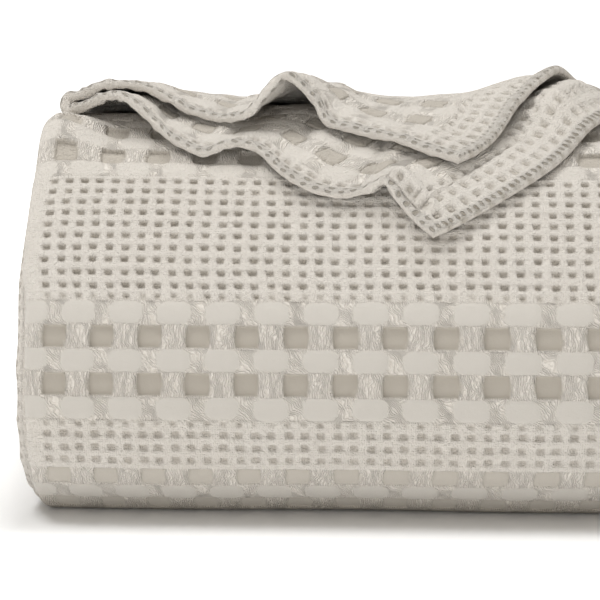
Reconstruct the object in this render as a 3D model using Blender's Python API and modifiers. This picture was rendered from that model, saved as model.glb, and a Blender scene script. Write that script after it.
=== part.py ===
"""A waffle weave cotton blanket, folded into a stack with its free end thrown back over the top.

One solid: a doubled sheet of cloth runs back and forth in nested U shaped passes, open to the
back, and the end of the cloth lies on top with its two plies parted, so that their hems and
corners show at the front.  Metres, +X right, +Y back, +Z up, standing on Z = 0.
"""
import bpy
import numpy as np

MM = 0.001

# Driving sizes of the folded stack
WIDTH = 380 * MM
DEPTH = 285 * MM
LAYER_THICKNESS = 4.8 * MM      # two plies of cloth lying together
PLY_THICKNESS = 2.6 * MM        # one ply of the loose end
PASSES = 12                     # nested U passes, so twice as many layers
CORE_SHARE = 0.25               # the innermost pass keeps this share of a pitch clear

# Outside of the stack in section, from the bottom back round the front to the top back.
# Columns: depth behind the front, height.
OUTLINE = np.array([
    (285, 0),
    (40, 0),
    (28, 4),
    (6, 28),
    (0, 54),
    (4, 85),
    (13, 113),
    (34, 144),
    (63, 170),
    (115, 192),
    (171, 189),
    (285, 177),
]) * MM

# The line that all passes nest round
CORE_FRONT = np.array((80, 83)) * MM
CORE_BACK = np.array((285, 98)) * MM

# Where the section is cut into rows, as shares of the outline's length
BEND_START = 0.33
BEND_END = 0.76
BEND_ROWS = 12
TOP_ROWS = 3

# The folds at the back: rows round each turn, and how far each one stays back from the depth
TURN_ROWS = 4
TURN_SETBACK = np.array((0, 3, 1, 4, 2, 0, 3, 1, 4, 1, 3)) * MM

# How far each pass stays in from the full width, outermost pass first.
# Columns: left end, right end.
PASS_INSET = np.array([
    (3.0, 2.0),
    (0.0, 0.0),
    (1.5, 3.0),
    (4.0, 1.0),
    (2.0, 4.0),
    (3.5, 2.0),
    (1.0, 3.5),
    (3.0, 1.5),
    (5.0, 4.0),
    (2.5, 2.0),
    (4.5, 5.0),
    (3.5, 3.0),
]) * MM
FOOT_INSET = 9 * MM             # the underside draws in this much more at both ends
FOOT_HEIGHT = 40 * MM
COLUMN_PLACES = (-1.0, -0.955, -0.6, -0.1, 0.45, 0.955, 1.0)
END_SQUEEZE = 0.045             # the stack is this much thinner at its very ends
PRESSED_FLAT = 0.5 * MM         # the underside lies on the ground wherever it is closer than this

# The loose end on top.  Reach is the distance from the back, measured forward over the top,
# and lift is the height of the ply's middle over the stack.
# Columns: sideways, reach, lift.
LOWER_HEM = np.array([
    (15, 275, 4.5),
    (-3, 254, 8),
    (-10, 246, 12),
    (-18, 248, 8),
    (-33, 250, 5),
    (-49, 245, 5.5),
    (-61, 236, 6),
    (-75, 220, 8),
    (-89, 219, 10),
    (-101, 221, 5.5),
    (-117, 212, 6.5),
    (-130, 199, 11),
    (-145, 190, 18.5),
    (-158, 181, 16),
    (-171, 176, 9),
    (-178, 172.5, 6),
    (-182, 170, 8.5),
]) * MM
UPPER_HEM = np.array([
    (-182, 170, 8.5),
    (-178, 167, 12.5),
    (-172, 167, 17),
    (-160, 172, 23.5),
    (-135, 179, 19.5),
    (-114, 189, 13),
    (-96, 196, 11),
    (-79, 205, 19),
    (-70, 200, 28),
    (-61, 194, 34),
    (-46, 196, 22),
    (-40, 202, 13),
    (-29, 207, 11),
    (-3, 219, 13),
    (12, 227, 12.5),
    (29, 234, 11.5),
]) * MM
LOWER_RIGHT_EDGE = np.array([
    (15, 275, 4.5),
    (45, 254, 4),
    (76, 228, 4),
    (100, 191, 4.5),
    (128, 150, 4.5),
    (148, 112, 4),
    (160, 74, -2.4),
]) * MM
LEFT_FOLD = np.array([
    (-182, 170, 8.5),
    (-183, 140, 7),
    (-184, 110, 6.5),
    (-184, 80, 6.5),
    (-184, 62, 5.5),
    (-184, 40, -2.4),
]) * MM
UPPER_RIGHT_EDGE = np.array([
    (29, 234, 11.5),
    (48, 213, 11),
    (62, 186, 18),
    (76, 166, 27),
    (100, 115, 18),
    (125, 65, 11),
    (140, 14, -2.4),
]) * MM
LOWER_REST = 4 * MM             # lift of the lower ply where it lies flat
UPPER_REST = 9.5 * MM           # lift of the upper ply where it lies on the lower one
LOWER_RIPPLE_LENGTH = 30 * MM   # how far the lower hem's ripples run back
UPPER_RIPPLE_LENGTH = 60 * MM
FOLD_SHARPNESS = 12             # how closely the left fold's own line is kept to the fold
CLOTH_ROWS = 10

COTTON_COLOUR = (0.74, 0.69, 0.62, 1.0)
COTTON_ROUGHNESS = 0.92


def clear_scene():
    """Remove whatever the new file holds."""
    for item in list(bpy.data.objects):
        bpy.data.objects.remove(item, do_unlink=True)


def smooth_path(points, count):
    """A centripetal Catmull-Rom curve through the points, as count evenly spaced places."""
    ends = [2 * points[0] - points[1]]
    tails = [2 * points[-1] - points[-2]]
    knots = np.vstack([ends, points, tails])
    fine = []
    for a, b, c, d in zip(knots[:-3], knots[1:-2], knots[2:-1], knots[3:]):
        t1 = np.linalg.norm(b - a) ** 0.5
        t2 = t1 + np.linalg.norm(c - b) ** 0.5
        t3 = t2 + np.linalg.norm(d - c) ** 0.5
        t = np.linspace(t1, t2, 24, endpoint=False)[:, None]
        ab = (t1 - t) / t1 * a + t / t1 * b
        bc = (t2 - t) / (t2 - t1) * b + (t - t1) / (t2 - t1) * c
        cd = (t3 - t) / (t3 - t2) * c + (t - t2) / (t3 - t2) * d
        abc = (t2 - t) / t2 * ab + t / t2 * bc
        bcd = (t3 - t) / (t3 - t1) * bc + (t - t1) / (t3 - t1) * cd
        fine.append((t2 - t) / (t2 - t1) * abc + (t - t1) / (t2 - t1) * bcd)
    fine = np.vstack(fine + [points[-1:]])
    lengths = path_lengths(fine)
    places = np.linspace(0, lengths[-1], count)
    return np.column_stack([np.interp(places, lengths, column) for column in fine.T])


def path_lengths(path):
    """Distance along a path at each of its points."""
    steps = np.linalg.norm(np.diff(path, axis=0), axis=1)
    return np.concatenate([[0.0], np.cumsum(steps)])


def outward_normals(path):
    """Unit normals of the section, which runs clockwise seen from the left, pointing out."""
    along = np.gradient(path, axis=0)
    along /= np.linalg.norm(along, axis=1)[:, None]
    return np.column_stack([-along[:, 1], along[:, 0]])


SECTION = smooth_path(OUTLINE, 801)
SECTION[:, 1] = np.maximum(SECTION[:, 1], 0)
SECTION_LENGTHS = path_lengths(SECTION)
SECTION_NORMALS = outward_normals(SECTION)


def place_on_section(place, lift):
    """Depth and height of points at distances along the outline, lifted off it."""
    point = [np.interp(place, SECTION_LENGTHS, column) for column in SECTION.T]
    normal = [np.interp(place, SECTION_LENGTHS, column) for column in SECTION_NORMALS.T]
    return point[0] + normal[0] * lift, point[1] + normal[1] * lift


def nearest_core(depth):
    """The point of the core line that a point at this depth closes in on."""
    share = np.clip((depth - CORE_FRONT[0]) / (CORE_BACK[0] - CORE_FRONT[0]), 0, 1)
    return CORE_FRONT + share[:, None] * (CORE_BACK - CORE_FRONT)


def pass_rows(number):
    """Section points of one U pass, from the bottom back to the top back."""
    bend = np.linspace(BEND_START, BEND_END, BEND_ROWS)
    top = np.linspace(BEND_END, 1.0, TOP_ROWS + 1)[1:]
    places = np.concatenate([[0.0], bend, top]) * SECTION_LENGTHS[-1]
    depth, height = place_on_section(places, -LAYER_THICKNESS / 2)
    outer = np.column_stack([depth, height])
    core = nearest_core(outer[:, 0])
    share = (PASSES - CORE_SHARE - number) / (PASSES - CORE_SHARE)
    rows = core + (outer - core) * share
    return rows


def back_turn(start, end):
    """Points of the half circle that carries the cloth from one pass to the next."""
    middle = (start + end) / 2
    radius = abs(end[1] - start[1]) / 2
    side = np.sign(start[1] - end[1])
    angles = np.linspace(0, np.pi, TURN_ROWS + 2)[1:-1]
    return np.column_stack([
        middle[0] + radius * np.sin(angles),
        middle[1] + side * radius * np.cos(angles),
    ])


def stack_path():
    """The whole section as one path, with the pass number at each point.

    Passes run down and up in turn, so each one is joined to the next at the back, first at the
    bottom and then at the top.
    """
    passes = [pass_rows(number) for number in range(PASSES)]
    turn_depths = []
    for number, setback in enumerate(TURN_SETBACK):
        end = 0 if number % 2 == 0 else -1
        gap = abs(passes[number + 1][end, 1] - passes[number][end, 1])
        depth = DEPTH - gap / 2 - LAYER_THICKNESS / 2 - setback
        passes[number][end, 0] = depth
        passes[number + 1][end, 0] = depth
        turn_depths.append(depth)
    passes[0][-1, 0] = turn_depths[0]
    passes[-1][-1, 0] = turn_depths[-1]

    points = []
    numbers = []
    for number, rows in enumerate(passes):
        ordered = rows[::-1] if number % 2 == 0 else rows
        points.append(ordered)
        numbers.append(np.full(len(ordered), float(number)))
        if number + 1 < PASSES:
            following = passes[number + 1]
            next_start = following[0] if number % 2 == 0 else following[-1]
            points.append(back_turn(ordered[-1], next_start))
            numbers.append(np.linspace(number, number + 1, TURN_ROWS + 2)[1:-1])
    return np.vstack(points), np.concatenate(numbers)


def stack_grid():
    """The sheet of the stack as rows along the section and columns across the width."""
    path, numbers = stack_path()
    passes = np.arange(PASSES)
    foot = FOOT_INSET * np.clip(1 - path[:, 1] / FOOT_HEIGHT, 0, 1) ** 2
    left = -WIDTH / 2 + np.interp(numbers, passes, PASS_INSET[:, 0]) + foot
    right = WIDTH / 2 - np.interp(numbers, passes, PASS_INSET[:, 1]) - foot
    columns = np.array(COLUMN_PLACES)
    share = (columns + 1) / 2
    across = left[:, None] * (1 - share) + right[:, None] * share

    from_middle = np.abs(across) / (WIDTH / 2)
    squeeze = 1 - END_SQUEEZE * np.clip((from_middle - 0.9) / 0.1, 0, 1) ** 2
    core = nearest_core(path[:, 0])
    depth = core[:, None, 0] + (path - core)[:, None, 0] * squeeze
    height = core[:, None, 1] + (path - core)[:, None, 1] * squeeze
    return np.stack([across, depth, height], axis=-1)


def patch(hem, start_edge, end_edge, back_line, rest, ripple_length):
    """One ply of the loose end, as a grid of sideways, reach and lift.

    Rows run back from the hem.  Each point blends the hem with the back line, and adds how far
    the two side edges stray from straight lines.  The hem's ripples fade to the resting lift.
    """
    back = (np.linspace(0, 1, CLOTH_ROWS) ** 1.2)[:, None]
    start = smooth_path(start_edge, 201)[np.round(back[:, 0] * 200).astype(int)]
    end = smooth_path(end_edge, 201)[np.round(back[:, 0] * 200).astype(int)]
    start_stray = start - (start[:1] * (1 - back) + start[-1:] * back)
    end_stray = end - (end[:1] * (1 - back) + end[-1:] * back)
    across = path_lengths(hem[:, :2])
    across = (across / across[-1])[None, :, None]
    straight = hem[None] * (1 - back[..., None]) + back_line[None] * back[..., None]
    grid = straight + start_stray[:, None] * (1 - across) + end_stray[:, None] * across

    run = np.linalg.norm(grid[..., :2] - hem[None, :, :2], axis=-1)
    fade = np.exp(-(run / ripple_length) ** 1.5)
    grid[..., 2] = rest + (hem[None, :, 2] - rest) * fade
    grid[-1, :, 2] = back_line[:, 2]
    return grid


def back_line(hem, start, end, fold_at_end):
    """Where one ply's back edge sinks into the stack, with its corner drawn to the left fold."""
    across = path_lengths(hem[:, :2])
    across = (across / across[-1])[:, None]
    if fold_at_end:
        turned = across ** FOLD_SHARPNESS
    else:
        turned = 1 - (1 - across) ** FOLD_SHARPNESS
    line = start + (end - start) * across
    line[:, 1:2] = start[1] + (end[1] - start[1]) * turned
    return line


def loose_end_grid():
    """Both plies of the loose end as one sheet, joined along the fold at the left."""
    lower_back = back_line(LOWER_HEM, LOWER_RIGHT_EDGE[-1], LEFT_FOLD[-1], True)
    upper_back = back_line(UPPER_HEM, LEFT_FOLD[-1], UPPER_RIGHT_EDGE[-1], False)
    lower = patch(
        LOWER_HEM, LOWER_RIGHT_EDGE, LEFT_FOLD, lower_back, LOWER_REST, LOWER_RIPPLE_LENGTH)
    upper = patch(
        UPPER_HEM, LEFT_FOLD, UPPER_RIGHT_EDGE, upper_back, UPPER_REST, UPPER_RIPPLE_LENGTH)
    ridge = smooth_path(UPPER_RIGHT_EDGE, CLOTH_ROWS)
    fold = smooth_path(LEFT_FOLD, CLOTH_ROWS)
    upper[:, -1, 2] = ridge[:, 2]
    upper[:, 0, 2] = fold[:, 2]
    sheet = np.concatenate([lower[:, :-1], upper], axis=1)
    depth, height = place_on_section(SECTION_LENGTHS[-1] - sheet[..., 1], sheet[..., 2])
    return np.stack([sheet[..., 0], depth, height], axis=-1)


def sheet_object(name, grid, thickness, collection):
    """A closed sheet of the given thickness, made from a grid of points on its middle."""
    rows, columns = grid.shape[:2]
    index = np.arange(rows * columns).reshape(rows, columns)
    corners = (index[:-1, :-1], index[:-1, 1:], index[1:, 1:], index[1:, :-1])
    faces = np.stack(corners, axis=-1).reshape(-1, 4)
    mesh = bpy.data.meshes.new(name)
    mesh.from_pydata(grid.reshape(-1, 3).tolist(), [], faces.tolist())
    mesh.update()
    item = bpy.data.objects.new(name, mesh)
    collection.objects.link(item)
    solidify = item.modifiers.new("Thickness", "SOLIDIFY")
    solidify.thickness = thickness
    solidify.offset = 0.0
    solidify.use_even_offset = True
    solidify.use_rim = True
    return item


def join_solids(item, cutter):
    """Make two closed sheets into one solid."""
    union = item.modifiers.new("Join", "BOOLEAN")
    union.operation = "UNION"
    union.solver = "EXACT"
    union.object = cutter


def apply_and_centre(item):
    """Replace the object's mesh with its finished shape, over the middle of its own footprint.

    The underside is pressed flat where it all but touches the ground.
    """
    bpy.context.view_layer.update()
    finished = item.evaluated_get(bpy.context.evaluated_depsgraph_get())
    mesh = bpy.data.meshes.new_from_object(finished)
    item.modifiers.clear()
    item.data = mesh
    points = np.empty(len(mesh.vertices) * 3)
    mesh.vertices.foreach_get("co", points)
    points = points.reshape(-1, 3)
    low = points.min(axis=0)
    high = points.max(axis=0)
    points -= ((low[0] + high[0]) / 2, (low[1] + high[1]) / 2, low[2])
    points[points[:, 2] < PRESSED_FLAT, 2] = 0
    mesh.vertices.foreach_set("co", points.ravel())
    mesh.update()


def cotton_material():
    """Plain off-white cotton."""
    material = bpy.data.materials.new("Off-white cotton")
    material.use_nodes = True
    shader = material.node_tree.nodes["Principled BSDF"]
    shader.inputs["Base Color"].default_value = COTTON_COLOUR
    shader.inputs["Roughness"].default_value = COTTON_ROUGHNESS
    shader.inputs["Metallic"].default_value = 0.0
    return material


def build_blanket():
    """The folded stack with its loose end on top, as one solid."""
    parts = bpy.data.collections.new("Folded waffle blanket")
    cutters = bpy.data.collections.new("Cutters")
    bpy.context.scene.collection.children.link(parts)
    bpy.context.scene.collection.children.link(cutters)

    blanket = sheet_object("blanket", stack_grid(), LAYER_THICKNESS, parts)
    loose_end = sheet_object("loose_end", loose_end_grid(), PLY_THICKNESS, cutters)
    join_solids(blanket, loose_end)
    apply_and_centre(blanket)
    blanket.data.materials.clear()
    blanket.data.materials.append(cotton_material())
    bpy.data.objects.remove(loose_end, do_unlink=True)


clear_scene()
build_blanket()
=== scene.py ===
import math

import bpy
import numpy as np
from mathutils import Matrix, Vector


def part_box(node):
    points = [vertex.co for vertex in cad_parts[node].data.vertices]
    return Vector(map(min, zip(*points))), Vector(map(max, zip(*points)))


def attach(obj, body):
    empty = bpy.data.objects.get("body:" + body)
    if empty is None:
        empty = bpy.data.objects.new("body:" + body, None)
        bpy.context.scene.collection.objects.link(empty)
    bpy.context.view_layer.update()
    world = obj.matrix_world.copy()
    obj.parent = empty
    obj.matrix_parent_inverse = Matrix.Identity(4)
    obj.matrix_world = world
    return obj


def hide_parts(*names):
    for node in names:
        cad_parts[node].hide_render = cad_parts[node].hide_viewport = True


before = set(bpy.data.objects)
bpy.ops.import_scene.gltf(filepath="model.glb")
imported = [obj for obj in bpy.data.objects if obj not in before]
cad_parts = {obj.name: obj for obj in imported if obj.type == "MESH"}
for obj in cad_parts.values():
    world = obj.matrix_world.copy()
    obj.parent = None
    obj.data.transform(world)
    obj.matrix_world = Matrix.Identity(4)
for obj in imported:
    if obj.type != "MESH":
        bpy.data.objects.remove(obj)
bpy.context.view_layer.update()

# A folded waffle weave blanket as five pieces of cloth: the outer cloth in two lengths, the twelve
# doubled layers under it, and the two plies of its loose end.  All lengths are in metres.
LOW, HIGH = (np.array(corner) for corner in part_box("blanket"))
MM = 0.001

# ---- Sizes of the folded blanket ----

DEPTH = 285 * MM
HALF_WIDTH = 190 * MM
PASSES = 12  # nested U passes of doubled cloth
CORE_SHARE = 0.25  # the innermost pass keeps this share of a pitch clear

# Outside of the stack in section, from the bottom back round the front to the top back.
# Columns: depth behind the front, height.
OUTLINE = np.array([
    (285, 0), (40, 0), (28, 4), (6, 28),
    (0, 54), (4, 85), (13, 113), (34, 144),
    (63, 170), (115, 192), (171, 189), (285, 177),
]) * MM

# The line that all passes nest round
CORE_FRONT = np.array((80, 83)) * MM
CORE_BACK = np.array((285, 98)) * MM

END_SQUEEZE = 0.045  # the stack is this much thinner at its very ends
END_SHARE = 0.1  # an end is this share of the half width

# ---- The weave ----

CELL = 7.8 * MM  # width of a waffle cell at the left end
CELL_STRETCH = 0.0095 * MM  # the cloth lies a little wider towards the right
BLOCK_CELLS = 3  # waffle cells to one basket block

# Rows of the outer cloth from the back edge over the top and down the front.
# Columns: kinds of row, how many times, length of one.
BAND = ("block", "gap", "block", "gap", "block")
BAND_ROW = 11.75 * MM
SMALL_ROW = (("small",), 1, 4.3 * MM)
ROWS = (
    (("waffle",), 5, 6.7 * MM), SMALL_ROW,
    (BAND, 1, BAND_ROW), SMALL_ROW,
    (("waffle",), 10, 6.9 * MM), SMALL_ROW,
    (BAND, 1, BAND_ROW),
    (("waffle",), 10, 6.8 * MM), SMALL_ROW,
    (BAND, 1, BAND_ROW), (("small",), 1, 3.75 * MM),
    (("waffle",), 3, 6.8 * MM), (("ridge",), 1, 1.6 * MM),
    (BAND[1:4], 1, BAND_ROW),
    (("under",), 5, 9 * MM),
)

# Where each kind of row is sampled, as shares of its length from its middle
SAMPLES = {
    "waffle": (-0.5, -0.29, -0.23, -0.17, 0.0, 0.17, 0.23, 0.29),
    "small": (-0.5, -0.25, 0.0, 0.25),
    "block": (-0.5, -0.45, -0.38, -0.26, -0.10, 0.10, 0.26, 0.38, 0.45),
    "gap": (-0.5, -0.475, -0.44, -0.38, -0.15, 0.15, 0.38, 0.44, 0.475),
    "ridge": (-0.5, 0.0),
    "under": (-0.5,),
}
COLUMN_SAMPLES = SAMPLES["waffle"]

# Relief over the middle of the cloth.  Across is in cells, and down is in shares of a row's length.
CROWN = 0.6 * MM
PIT_DEPTH = 2.0 * MM
PIT_HALF = (0.24, 0.225)  # half a pit, across and down
PIT_WANDER = (0.05, 0.04)  # how far a pit's middle strays
KNOB_DROP = 0.32 * MM  # the yarns between pits lie this much under the crosswise ridges
SMALL_CROWN = 0.36 * MM
SMALL_PIT_DEPTH = 1.4 * MM
SMALL_PIT_HALF = (0.2, 0.3)
BLOCK_HALF = 1.12  # half a block's width
BLOCK_HEIGHT = 0.65 * MM
BLOCK_SURROUND = 0.75 * MM  # how far the cloth beside a block lies under its edge
BLOCK_LEAN = 0.10  # how far a block leans sideways over its length
BUNDLE_HEIGHT = 0.75 * MM
BUNDLE_HALF = 0.82  # half a lengthwise bundle's width
PATCH_DEPTH = 2.5 * MM
PATCH_EDGE = (0.70, 0.79)  # where a patch begins, from the middle of its bundle
PATCH_SHADE = 0.85  # the painted shade on its floor, as a share of a pit's
PLAIN_HEIGHT = 0.48 * MM  # of rows without weave


def smooth_step(low, high, value):
    """0 below low, 1 above high, and 3t^2 - 2t^3 between them."""
    t = np.clip((value - low) / (high - low), 0, 1)
    return t * t * (3 - 2 * t)


def scatter(*keys):
    """A fixed number from -1 to 1 for each set of whole keys: the fraction of a large sine."""
    mixed = sum(np.asarray(key) * weight for key, weight in zip(keys, (12.9898, 78.233, 37.719)))
    wave = np.sin(mixed) * 43758.5453
    return (wave - np.floor(wave)) * 2 - 1


def row_chart(rows):
    """Kind, middle and length of every row of a chart, from its first edge on."""
    kinds, middles, lengths = [], [], []
    reach = 0.0
    for group, count, length in rows:
        for kind in group * count:
            kinds.append(kind)
            middles.append(reach + length / 2)
            lengths.append(length)
            reach += length
    return np.array(kinds), np.array(middles), np.array(lengths)


OUTER_CHART = row_chart(ROWS)
KINDS, MIDDLES, LENGTHS = OUTER_CHART


def cells_at(across):
    """Waffle cells from the left edge to a distance across, where a cell widens to the right."""
    return (-CELL + np.sqrt(CELL ** 2 + 4 * CELL_STRETCH * across)) / (2 * CELL_STRETCH)


def across_at(cells):
    """Distance across the cloth at a count of cells: cell width times count, plus its stretch."""
    return CELL * cells + CELL_STRETCH * cells ** 2


def weave_relief(cells, reach, chart):
    """Height of the cloth over its middle, the masks of its finishes, and a mask of painted shade.

    A waffle cell is a crown less a rounded box pit, exp(-(x/a)^6 - (y/b)^6), and a small cell is
    the same with softer corners.  A band's block is a dome over a rounded octagon, its bundles are
    low humps, and its patches are flat floors.  Each is scattered a little from cell to cell.
    """
    cells, reach = np.broadcast_arrays(cells, reach)
    kinds, middles, lengths = chart
    row = np.clip(np.searchsorted(middles + lengths / 2, reach), 0, len(kinds) - 1)
    kind = kinds[row]
    down = (reach - middles[row]) / lengths[row]
    column = np.round(cells)
    side = cells - column
    block = np.round((cells - 1) / BLOCK_CELLS)
    aside = (cells - 1) - block * BLOCK_CELLS

    shift_x = PIT_WANDER[0] * scatter(column, row)
    shift_y = PIT_WANDER[1] * scatter(column, row, 3)
    size = 1 + 0.1 * scatter(column, row, 5)
    depth = PIT_DEPTH * (1 + 0.15 * scatter(column, row, 7))
    pit = np.exp(
        -((side - shift_x) / (PIT_HALF[0] * size)) ** 6 - ((down - shift_y) / PIT_HALF[1]) ** 6)
    # Painted shadow in each pit, darker towards its upper side on the front and its back side on
    # the top, as if lit from above.
    painted_pit_shadow = pit * np.clip(0.75 - 1.6 * down, 0.45, 1.1)
    valley = np.exp(-(down / 0.25) ** 4)
    knob = KNOB_DROP * (1 + 0.6 * scatter(np.floor(cells), row, 8))
    waffle = CROWN - knob * valley - depth * pit

    small_pit = np.exp(
        -((side - shift_x) / SMALL_PIT_HALF[0]) ** 4 - ((down - shift_y) / SMALL_PIT_HALF[1]) ** 4)
    small_pit = small_pit * (0.9 + 0.4 * scatter(column, row, 9))
    small = SMALL_CROWN - SMALL_PIT_DEPTH * small_pit

    width = BLOCK_HALF + 0.04 * scatter(block, row, 11)
    lean = BLOCK_LEAN * scatter(block, row, 13)
    over = np.abs(aside - lean * down) / width
    up = np.abs(down - 0.03 * scatter(block, row, 14)) / 0.5
    octagon = np.maximum(np.maximum(over, up), (over + up) / 1.6)
    puff = 1 - np.clip(octagon, 0, 1) ** 5
    on_block = 1 - smooth_step(0.9, 1.06, octagon)
    bundle_across = 1 - smooth_step(0.38, 0.52, np.abs(down - 0.3 * lean * aside))
    beside = smooth_step(0.7, 1.0, over)
    block_height = BLOCK_HEIGHT * puff + (1 - on_block) * beside * (
        BUNDLE_HEIGHT * bundle_across - BLOCK_SURROUND)
    block_height += 0.12 * MM * scatter(block, row, 15)

    waist = 0.05 * np.cos(2 * np.pi * down) - 0.03 * scatter(block, row, 17)
    inside = np.abs(aside - lean * down)
    patch = smooth_step(PATCH_EDGE[0] - waist, PATCH_EDGE[1] - waist, inside) * (
        1 - smooth_step(0.44, 0.5, np.abs(down)))
    bundle_down = np.sqrt(np.clip(1 - (inside / BUNDLE_HALF) ** 4, 0, 1)) * BUNDLE_HEIGHT
    bundle_down = bundle_down * (1 - 0.7 * smooth_step(0.3, 0.5, np.abs(down)))
    gap_height = bundle_down - PATCH_DEPTH * patch

    is_waffle, is_small, is_block, is_gap = (
        kind == name for name in ("waffle", "small", "block", "gap"))
    height = np.select(
        [is_waffle, is_small, is_block, is_gap],
        [waffle, small, block_height, gap_height], PLAIN_HEIGHT)
    return height, {
        "satin": on_block * is_block + patch * is_gap,
        "strands_across": (1 - on_block) * is_block,
        "strands_down": (1 - patch) * is_gap,
        # The last mask is painted shade: darker in waffle pits, small pits and patch floors, where
        # shade falls.
        "painted_shade": np.select(
            [is_waffle, is_small, is_gap], [painted_pit_shadow, small_pit, PATCH_SHADE * patch], 0.0),
    }


# ---- The stack's section ----

PATH_SAMPLES = 801
SECTION_SAMPLES = 1601
SPAN_SAMPLES = 40  # from one given point of a curve to the next


def path_lengths(path):
    """Distance along a path at each of its points."""
    steps = np.linalg.norm(np.diff(path, axis=0), axis=1)
    return np.concatenate([[0.0], np.cumsum(steps)])


def blend_between(a, b, start, end, t):
    """The straight blend from a at the start to b at the end."""
    return (end - t) / (end - start) * a + (t - start) / (end - start) * b


def smooth_path(points, count):
    """A centripetal Catmull-Rom curve through the points, as count evenly spaced places."""
    knots = np.vstack([[2 * points[0] - points[1]], points, [2 * points[-1] - points[-2]]])
    fine = []
    for a, b, c, d in zip(knots[:-3], knots[1:-2], knots[2:-1], knots[3:]):
        t1 = np.linalg.norm(b - a) ** 0.5
        t2 = t1 + np.linalg.norm(c - b) ** 0.5
        t3 = t2 + np.linalg.norm(d - c) ** 0.5
        t = np.linspace(t1, t2, SPAN_SAMPLES, endpoint=False)[:, None]
        ab = blend_between(a, b, 0, t1, t)
        bc = blend_between(b, c, t1, t2, t)
        cd = blend_between(c, d, t2, t3, t)
        abc = blend_between(ab, bc, 0, t2, t)
        bcd = blend_between(bc, cd, t1, t3, t)
        fine.append(blend_between(abc, bcd, t1, t2, t))
    fine = np.vstack(fine + [points[-1:]])
    lengths = path_lengths(fine)
    places = np.linspace(0, lengths[-1], count)
    return np.column_stack([np.interp(places, lengths, column) for column in fine.T])


def places_along(points, shares):
    """Places on the smooth curve through the points, at shares of its samples."""
    path = smooth_path(points, PATH_SAMPLES)
    samples = np.linspace(0, 1, PATH_SAMPLES)
    return np.column_stack([np.interp(shares, samples, column) for column in path.T])


def outward_normals(path):
    """Unit normals of the section, pointing out of the stack."""
    along = np.gradient(path, axis=0)
    along /= np.linalg.norm(along, axis=1)[:, None]
    return np.column_stack([-along[:, 1], along[:, 0]])


SECTION = smooth_path(OUTLINE, SECTION_SAMPLES)
SECTION[:, 1] = np.maximum(SECTION[:, 1], 0)
SECTION_LENGTHS = path_lengths(SECTION)
SECTION_NORMALS = outward_normals(SECTION)


def read_section(table, reach):
    """Both columns of a table of the section, at a reach from the back edge."""
    place = SECTION_LENGTHS[-1] - reach
    return [np.interp(place, SECTION_LENGTHS, column) for column in table.T]


def place_on_section(reach, lift):
    """Depth and height of points at a reach from the back edge, lifted off the outline."""
    point = read_section(SECTION, reach)
    normal = read_section(SECTION_NORMALS, reach)
    return point[0] + normal[0] * lift, point[1] + normal[1] * lift


def nearest_core(depth):
    """The point of the core line that a point at this depth closes in on."""
    share = np.clip((depth - CORE_FRONT[0]) / (CORE_BACK[0] - CORE_FRONT[0]), 0, 1)
    return (CORE_FRONT[0] + share * (CORE_BACK[0] - CORE_FRONT[0]),
            CORE_FRONT[1] + share * (CORE_BACK[1] - CORE_FRONT[1]))


def stand_in_frame(sideways, depth, height):
    """Points of the stack in the frame, drawn in towards the core near the left and right ends.

    Below the core they keep their height, so that the whole underside lies on the table.
    """
    ends = np.clip((np.abs(sideways) / HALF_WIDTH - (1 - END_SHARE)) / END_SHARE, 0, 1.05) ** 2
    squeeze = 1 - END_SQUEEZE * ends
    core_depth, core_height = nearest_core(depth)
    depth = core_depth + (depth - core_depth) * squeeze
    height = core_height + (height - core_height) * np.where(height > core_height, squeeze, 1)
    return np.stack(np.broadcast_arrays(
        sideways + (LOW[0] + HIGH[0]) / 2, depth + LOW[1], height + LOW[2]), axis=-1)


# ---- Meshes ----

SAME_POINT = 1e-7


def add_object(name, data):
    """A new object in the scene, at the origin."""
    item = bpy.data.objects.new(name, data)
    bpy.context.scene.collection.objects.link(item)
    return item


def mesh_object(name, points, faces, coordinates, masks, material):
    """A smooth mesh of quads, with cloth coordinates in metres and masks of finishes and painted
    shade at its points.

    A mask is one number for all points, or an array with one for each.
    """
    points = points.reshape(-1, 3)
    coordinates = coordinates.reshape(-1, 2)
    mesh = bpy.data.meshes.new(name)
    mesh.vertices.add(len(points))
    mesh.vertices.foreach_set("co", points.astype(np.float32).ravel())
    mesh.loops.add(faces.size)
    mesh.loops.foreach_set("vertex_index", faces.astype(np.int32).ravel())
    mesh.polygons.add(len(faces))
    mesh.polygons.foreach_set("loop_start", np.arange(0, faces.size, 4, dtype=np.int32))
    mesh.update(calc_edges=True)
    layer = mesh.uv_layers.new(name="Cloth")
    layer.data.foreach_set("uv", coordinates[faces.ravel()].astype(np.float32).ravel())
    for mask, values in masks.items():
        attribute = mesh.attributes.new(mask, "FLOAT", "POINT")
        values = np.broadcast_to(np.ravel(values), len(points)).astype(np.float32)
        attribute.data.foreach_set("value", values)
    mesh.polygons.foreach_set("use_smooth", np.ones(len(faces), dtype=bool))
    mesh.materials.append(material)
    return add_object(name, mesh)


def grid_mesh(name, points, coordinates, masks, material):
    """A sheet from a grid of points, facing the side of its rows crossed with its columns."""
    rows, columns = points.shape[:2]
    index = np.arange(rows * columns).reshape(rows, columns)
    corners = (index[:-1, :-1], index[1:, :-1], index[1:, 1:], index[:-1, 1:])
    faces = np.stack(corners, axis=-1).reshape(-1, 4)
    return mesh_object(name, points, faces, coordinates, masks, material)


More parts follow.
